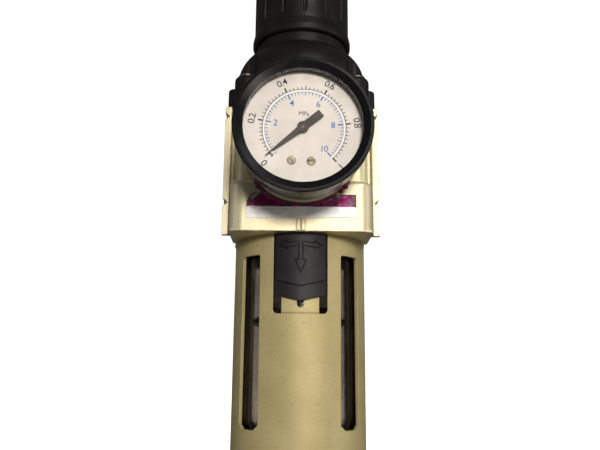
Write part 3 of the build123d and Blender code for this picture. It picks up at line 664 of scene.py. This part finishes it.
# ---- casting flash along the block's lower edges ------------------------------------------
flash = Builder()
for face in (-1, 1):
    rings, steps = [], 150
    for i in range(steps + 1):
        x = -BLOCK_X + 1.2 + (2 * BLOCK_X - 2.4) * i / steps
        coarse = noise.noise(Vector((x / 2.3, 8.1 * face, 0.4)))
        fine = noise.noise(Vector((x / 0.6, 2.2, face)))
        rough = 0.1 + 0.5 * max(0.0, coarse) + 0.14 * fine
        y_face, drop = face * 34.95, max(0.03, rough)
        rings.append([(x, y_face, BODY_BOTTOM + 0.5), (x, y_face - face * 0.9, BODY_BOTTOM + 0.3),
                      (x, y_face - face * 0.8, BODY_BOTTOM - drop),
                      (x, y_face - face * 0.15, BODY_BOTTOM - drop * 0.8)])
    flash.loops(rings)
flash.make("casting_flash", FINISH["champagne_casting"], "root", "champagne_casting")


# ---- pipe threads in the two ports --------------------------------------------------------
THREAD_PITCH = 1.81
THREAD_DEPTH = 0.7
BORE = metal("cut_thread", rgb(214, 206, 186), rgb(150, 142, 122), 0.3, 0.2)
for side, name in ((-1, "inlet_thread"), (1, "outlet_thread")):
    thread, rings, steps, turns = Builder(), [], 36, 8
    for i in range(steps * turns + 1):
        angle = 2 * math.pi * i / steps
        taper = min(1.0, i / steps, (steps * turns - i) / steps)
        x_mid = side * (34.0 - THREAD_PITCH * i / steps)
        ring = []
        for dx, dr in ((-0.72, 0.05), (-0.12, -THREAD_DEPTH), (0.12, -THREAD_DEPTH), (0.72, 0.05)):
            radius = PORT_R + (dr if dr > 0 else dr * taper + 0.05 * (1 - taper))
            ring.append((x_mid + side * dx, radius * math.cos(angle), radius * math.sin(angle)))
        rings.append(ring)
    thread.loops(rings)
    thread.make(name, BORE, "root", "champagne_casting")


# ---- floor, backdrop, light, camera -------------------------------------------------------
def floor_sheet():
    """A seamless studio sweep: flat floor that curves up into a wall behind."""
    depth, rise, curl = 1.6, 1.8, 0.5
    floor_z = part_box("drain_cock")[0].z - 0.0005
    profile = [(-2.6, floor_z), (depth - curl, floor_z)]
    for i in range(1, 13):
        angle = math.pi / 2 * i / 12
        profile.append((depth - curl + curl * math.sin(angle), floor_z + curl * (1 - math.cos(angle))))
    profile.append((depth, floor_z + rise))
    points = [(side * 3.0, y, z) for y, z in profile for side in (-1, 1)]
    faces = [(2 * i, 2 * i + 1, 2 * i + 3, 2 * i + 2) for i in range(len(profile) - 1)]
    mesh = bpy.data.meshes.new("studio_sweep")
    mesh.from_pydata(points, [], faces)
    for polygon in mesh.polygons:
        polygon.use_smooth = True
    made = bpy.data.objects.new("studio_sweep", mesh)
    bpy.context.scene.collection.objects.link(made)
    paper = Tree("studio_paper")
    drift = paper.remap(paper.noise(60.0, 2.0), 0.3, 0.7, 0.0, 1.0)
    tone = paper.mix(drift, rgb(246, 246, 246), rgb(243, 243, 243))
    paper.set(base_color=tone, roughness=0.9, emission_color=(1.0, 1.0, 1.0, 1.0), emission_strength=0.85)
    mesh.materials.append(paper.mat)
    made.visible_diffuse = False
    made.visible_glossy = False


def area_light(name, place, target, width, height, watts, colour=(1.0, 1.0, 1.0), mirrored=True):
    data = bpy.data.lights.new(name, "AREA")
    data.shape, data.size, data.size_y, data.energy, data.color = "RECTANGLE", width, height, watts, colour
    light = bpy.data.objects.new(name, data)
    light.location = place
    light.rotation_mode = "QUATERNION"
    light.rotation_quaternion = (Vector(target) - Vector(place)).to_track_quat("-Z", "Y")
    light.visible_glossy = mirrored
    bpy.context.scene.collection.objects.link(light)


floor_sheet()
area_light("key", (0.16, -1.2, 0.17), (0, 0, -0.02), 0.26, 0.2, 9.6, (1.0, 0.97, 0.93), mirrored=False)
area_light("key_gloss", (0.16, -1.2, 0.17), (0, 0, -0.02), 0.26, 0.2, 4.2, (1.0, 0.97, 0.93))
area_light("front_gloss", (0.35, -1.0, 0.75), (0, 0, -0.02), 0.3, 0.2, 2.4)
area_light("right_gloss", (0.52, -0.98, -0.06), (0, 0, 0), 0.25, 0.25, 0.9, (1.0, 0.88, 0.76))
area_light("right_window", (1.1, -0.35, 0.1), (0, 0, -0.05), 0.2, 0.9, 1.5, (1.0, 0.99, 0.96))
area_light("left_fill", (-1.0, -0.5, 0.2), (0, 0, -0.05), 0.3, 0.8, 0.35)
area_light("rear_left", (-0.6, 1.0, 0.45), (0, 0, -0.02), 0.5, 0.8, 9.0, mirrored=False)
area_light("rear_right", (0.6, 1.0, 0.3), (0, 0, -0.02), 0.4, 0.8, 5.0, mirrored=False)

# A dim world that only the camera sees bright.
WORLD_LIGHT, WORLD_SEEN = 0.09, 0.95
world = bpy.data.worlds.new("studio")
bpy.context.scene.world = world
world.use_nodes = True
tree = world.node_tree
seen = tree.nodes.new("ShaderNodeLightPath").outputs["Is Camera Ray"]
strength = tree.nodes.new("ShaderNodeMapRange")
tree.links.new(seen, strength.inputs["Value"])
strength.inputs["To Min"].default_value = WORLD_LIGHT
strength.inputs["To Max"].default_value = WORLD_SEEN
tree.nodes["Background"].inputs["Color"].default_value = (1.0, 1.0, 1.0, 1.0)
tree.links.new(strength.outputs["Result"], tree.nodes["Background"].inputs["Strength"])

# The camera stands below the ports and looks up at the gauge.
CAMERA_PLACE = (-4.08, -301.64, -93.25)
CAMERA_HEADING, CAMERA_PITCH, CAMERA_ROLL = -0.769, 12.537, 0.483
FOCAL_LENGTH = 38.85
camera_data = bpy.data.cameras.new("camera")
camera_data.sensor_fit = "HORIZONTAL"
camera_data.sensor_width = 36.0
camera_data.lens = FOCAL_LENGTH
camera_data.clip_start = 0.01
camera = bpy.data.objects.new("camera", camera_data)
turn = Matrix.Rotation(math.radians(CAMERA_HEADING), 4, "Z")
turn = turn @ Matrix.Rotation(math.radians(90 + CAMERA_PITCH), 4, "X")
turn = turn @ Matrix.Rotation(math.radians(CAMERA_ROLL), 4, "Z")
camera.matrix_world = Matrix.Translation([part * MM for part in CAMERA_PLACE]) @ turn
bpy.context.scene.collection.objects.link(camera)
bpy.context.scene.camera = camera
bpy.context.scene.view_settings.view_transform = "Standard"
